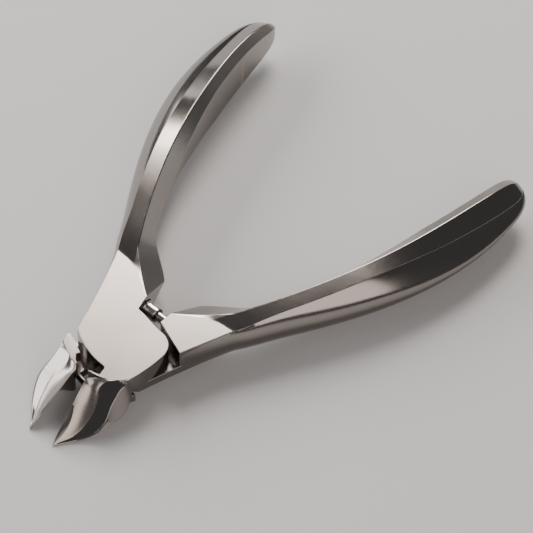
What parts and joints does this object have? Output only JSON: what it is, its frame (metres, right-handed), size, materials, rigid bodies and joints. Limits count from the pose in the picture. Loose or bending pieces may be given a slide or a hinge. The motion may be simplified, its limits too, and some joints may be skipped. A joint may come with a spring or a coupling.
{
  "type": "nail nipper",
  "caption": "Hand nail nipper: two forged levers crossed in a lap joint with pointed hollow-ground jaws, faceted handles, a hidden pivot screw and a sprung plunger between the heels.",
  "frame": {"origin": "where the pivot axis meets the joint's front face", "axes": "+X along the handles on the tool's centre line, +Y towards the front lever's handle, +Z out of the front face"},
  "size_m": [0.1154, 0.0832, 0.0122],
  "materials": {
    "lever_steel": "satin, fine bead-blasted grey nickel",
    "fitting_steel": "turned stainless, fine",
    "dark_steel": "oiled dark steel",
    "spring_steel": "drawn spring wire"
  },
  "bodies": {
    "front_lever": {"front_lever": "lever_steel", "pivot_screw": "fitting_steel"},
    "back_lever": {"back_lever": "lever_steel"},
    "barrel": {"spring_barrel": "fitting_steel", "barrel_lip": "dark_steel", "return_spring": "spring_steel"},
    "plunger": {"plunger_pin": "fitting_steel"}
  },
  "joints": [
    {"name": "lever_hinge", "type": "hinge", "parent": "front_lever", "child": "back_lever", "pos_m": [0, 0, -0.0035], "axis": [0, 0, 1], "range_deg": [0, 13], "stiffness_Nm_per_rad": 0.25, "springref_deg": -20.05},
    {"name": "barrel_rock", "type": "hinge", "parent": "front_lever", "child": "barrel", "pos_m": [0.0105, 0.0062, -0.0035], "axis": [0, 0, 1], "range_deg": [0, 6.5]},
    {"name": "plunger_slide", "type": "slide", "parent": "barrel", "child": "plunger", "axis": [0, 1, 0], "range_m": [0, 0.0025], "deforming": ["return_spring"]}
  ],
  "couplings": [
    {"joint": "barrel_rock", "follows": "lever_hinge", "ratio": 0.5},
    {"joint": "plunger_slide", "follows": "lever_hinge", "m_per_rad": 0.01082}
  ]
}
